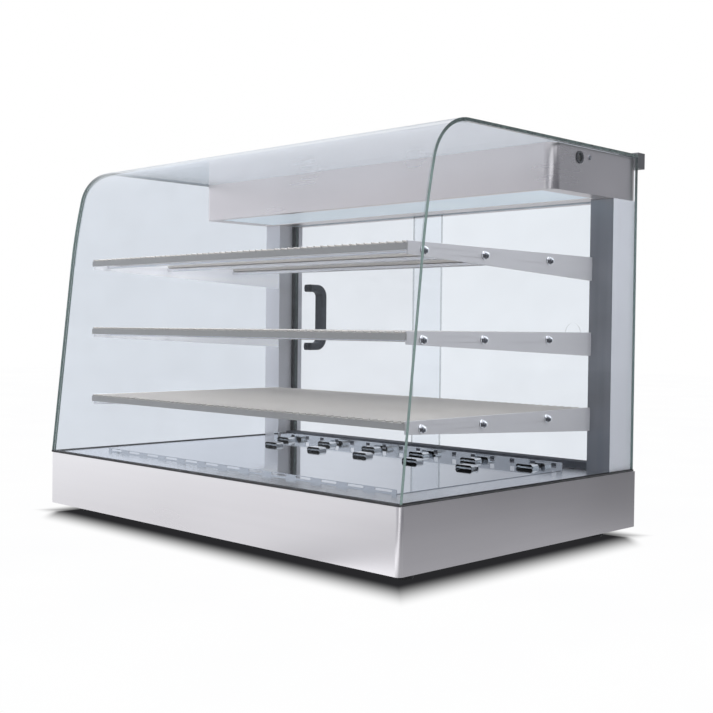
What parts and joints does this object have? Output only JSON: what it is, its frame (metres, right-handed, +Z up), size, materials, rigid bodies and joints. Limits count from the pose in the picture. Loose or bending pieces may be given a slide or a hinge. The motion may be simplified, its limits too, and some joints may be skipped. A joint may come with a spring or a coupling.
{
  "type": "hot food display case",
  "caption": "Counter-top hot food display case: curved glass, wire racks on tapered arms, lamp housing and sliding rear glass doors",
  "frame": {"origin": "on the table plane, below the middle of the bounding box", "axes": "+X to the customer-side viewer's right along the length, -Y to the customer side, +Z up"},
  "size_m": [0.9, 0.622, 0.658],
  "materials": {
    "brushed_stainless": "satin",
    "satin_stainless": "satin",
    "mirror_stainless": "polished",
    "galvanised_sheet": "satin",
    "black_rubber": "matte",
    "zinc_screws": "satin",
    "bright_chrome": "polished",
    "element_steel": "satin",
    "clear_glass": "gloss",
    "frosted_glass": "satin",
    "lamp_glass": "gloss",
    "white_ceramic": "gloss",
    "bright_aluminium": "polished",
    "track_aluminium": "satin",
    "black_plastic": "matte",
    "red_plastic": "gloss",
    "green_plastic": "gloss",
    "charcoal_plastic": "satin",
    "shaft_steel": "satin",
    "shelf_steel": "satin",
    "rack_wire": "satin"
  },
  "bodies": {
    "case": {"base_bottom_cover": "galvanised_sheet", "base_casing": "brushed_stainless", "base_rear_panel": "brushed_stainless", "deck_insert": "mirror_stainless", "deck_plate": "satin_stainless", "dome_nuts": "bright_chrome", "element_brackets": "galvanised_sheet", "foot_screws": "zinc_screws", "front_glass": "clear_glass", "glass_seat_gasket": "black_rubber", "heat_shield": "galvanised_sheet", "heating_element": "element_steel", "housing_diffuser": "frosted_glass", "housing_end_screws": "zinc_screws", "housing_grommets": "black_rubber", "lamp_cable": "black_rubber", "lamp_holders": "white_ceramic", "lamp_housing": "brushed_stainless", "lamp_reflector": "bright_aluminium", "lamp_tubes": "lamp_glass", "left_jamb_seal": "black_rubber", "left_post": "brushed_stainless", "left_side_glass": "clear_glass", "light_switch_body": "black_plastic", "low_left_arm": "shelf_steel", "low_right_arm": "shelf_steel", "lower_door_track": "track_aluminium", "mid_left_arm": "shelf_steel", "mid_right_arm": "shelf_steel", "panel_screws": "zinc_screws", "pilot_lamp_body": "black_plastic", "pilot_lamp_lens": "red_plastic", "power_inlet": "black_plastic", "power_switch_body": "black_plastic", "rail_screws": "zinc_screws", "rear_top_rail": "brushed_stainless", "right_jamb_seal": "black_rubber", "right_post": "brushed_stainless", "right_side_glass": "clear_glass", "rubber_feet": "black_rubber", "shelf_front_bars": "shelf_steel", "terminal_block": "black_plastic", "thermostat_body": "black_plastic", "tie_rods": "bright_chrome", "top_left_arm": "shelf_steel", "top_right_arm": "shelf_steel", "upper_door_track": "track_aluminium"},
    "left_door": {"left_door_glass": "clear_glass", "left_door_handle": "charcoal_plastic", "handle_screws": "zinc_screws", "left_door_shoes": "black_plastic"},
    "right_door": {"right_door_glass": "clear_glass", "right_door_shoes": "black_plastic"},
    "knob": {"thermostat_knob": "black_plastic", "thermostat_shaft": "shaft_steel"},
    "power_rocker": {"power_rocker": "red_plastic"},
    "light_rocker": {"light_rocker": "green_plastic"},
    "low_rack": {"low_rack": "rack_wire"},
    "mid_rack": {"mid_rack": "rack_wire"},
    "top_rack": {"top_rack": "rack_wire"}
  },
  "joints": [
    {"name": "left_door_slide", "type": "slide", "parent": "case", "child": "left_door", "axis": [1, 0, 0], "range_m": [0, 0.35]},
    {"name": "right_door_slide", "type": "slide", "parent": "case", "child": "right_door", "axis": [-1, 0, 0], "range_m": [0, 0.35]},
    {"name": "thermostat_turn", "type": "hinge", "parent": "case", "child": "knob", "pos_m": [0.11, 0.2905, 0.063], "axis": [0, 1, 0], "range_deg": [0, 270]},
    {"name": "power_rocker_tip", "type": "hinge", "parent": "case", "child": "power_rocker", "pos_m": [0.045, 0.2865, 0.063], "axis": [1, 0, 0], "range_deg": [-8, 8]},
    {"name": "light_rocker_tip", "type": "hinge", "parent": "case", "child": "light_rocker", "pos_m": [0.003, 0.2865, 0.063], "axis": [1, 0, 0], "range_deg": [-8, 8]},
    {"name": "low_lift", "type": "slide", "parent": "case", "child": "low_rack", "axis": [0, 0, 1], "range_m": [0, 0.06]},
    {"name": "mid_lift", "type": "slide", "parent": "case", "child": "mid_rack", "axis": [0, 0, 1], "range_m": [0, 0.06]},
    {"name": "top_lift", "type": "slide", "parent": "case", "child": "top_rack", "axis": [0, 0, 1], "range_m": [0, 0.06]}
  ]
}
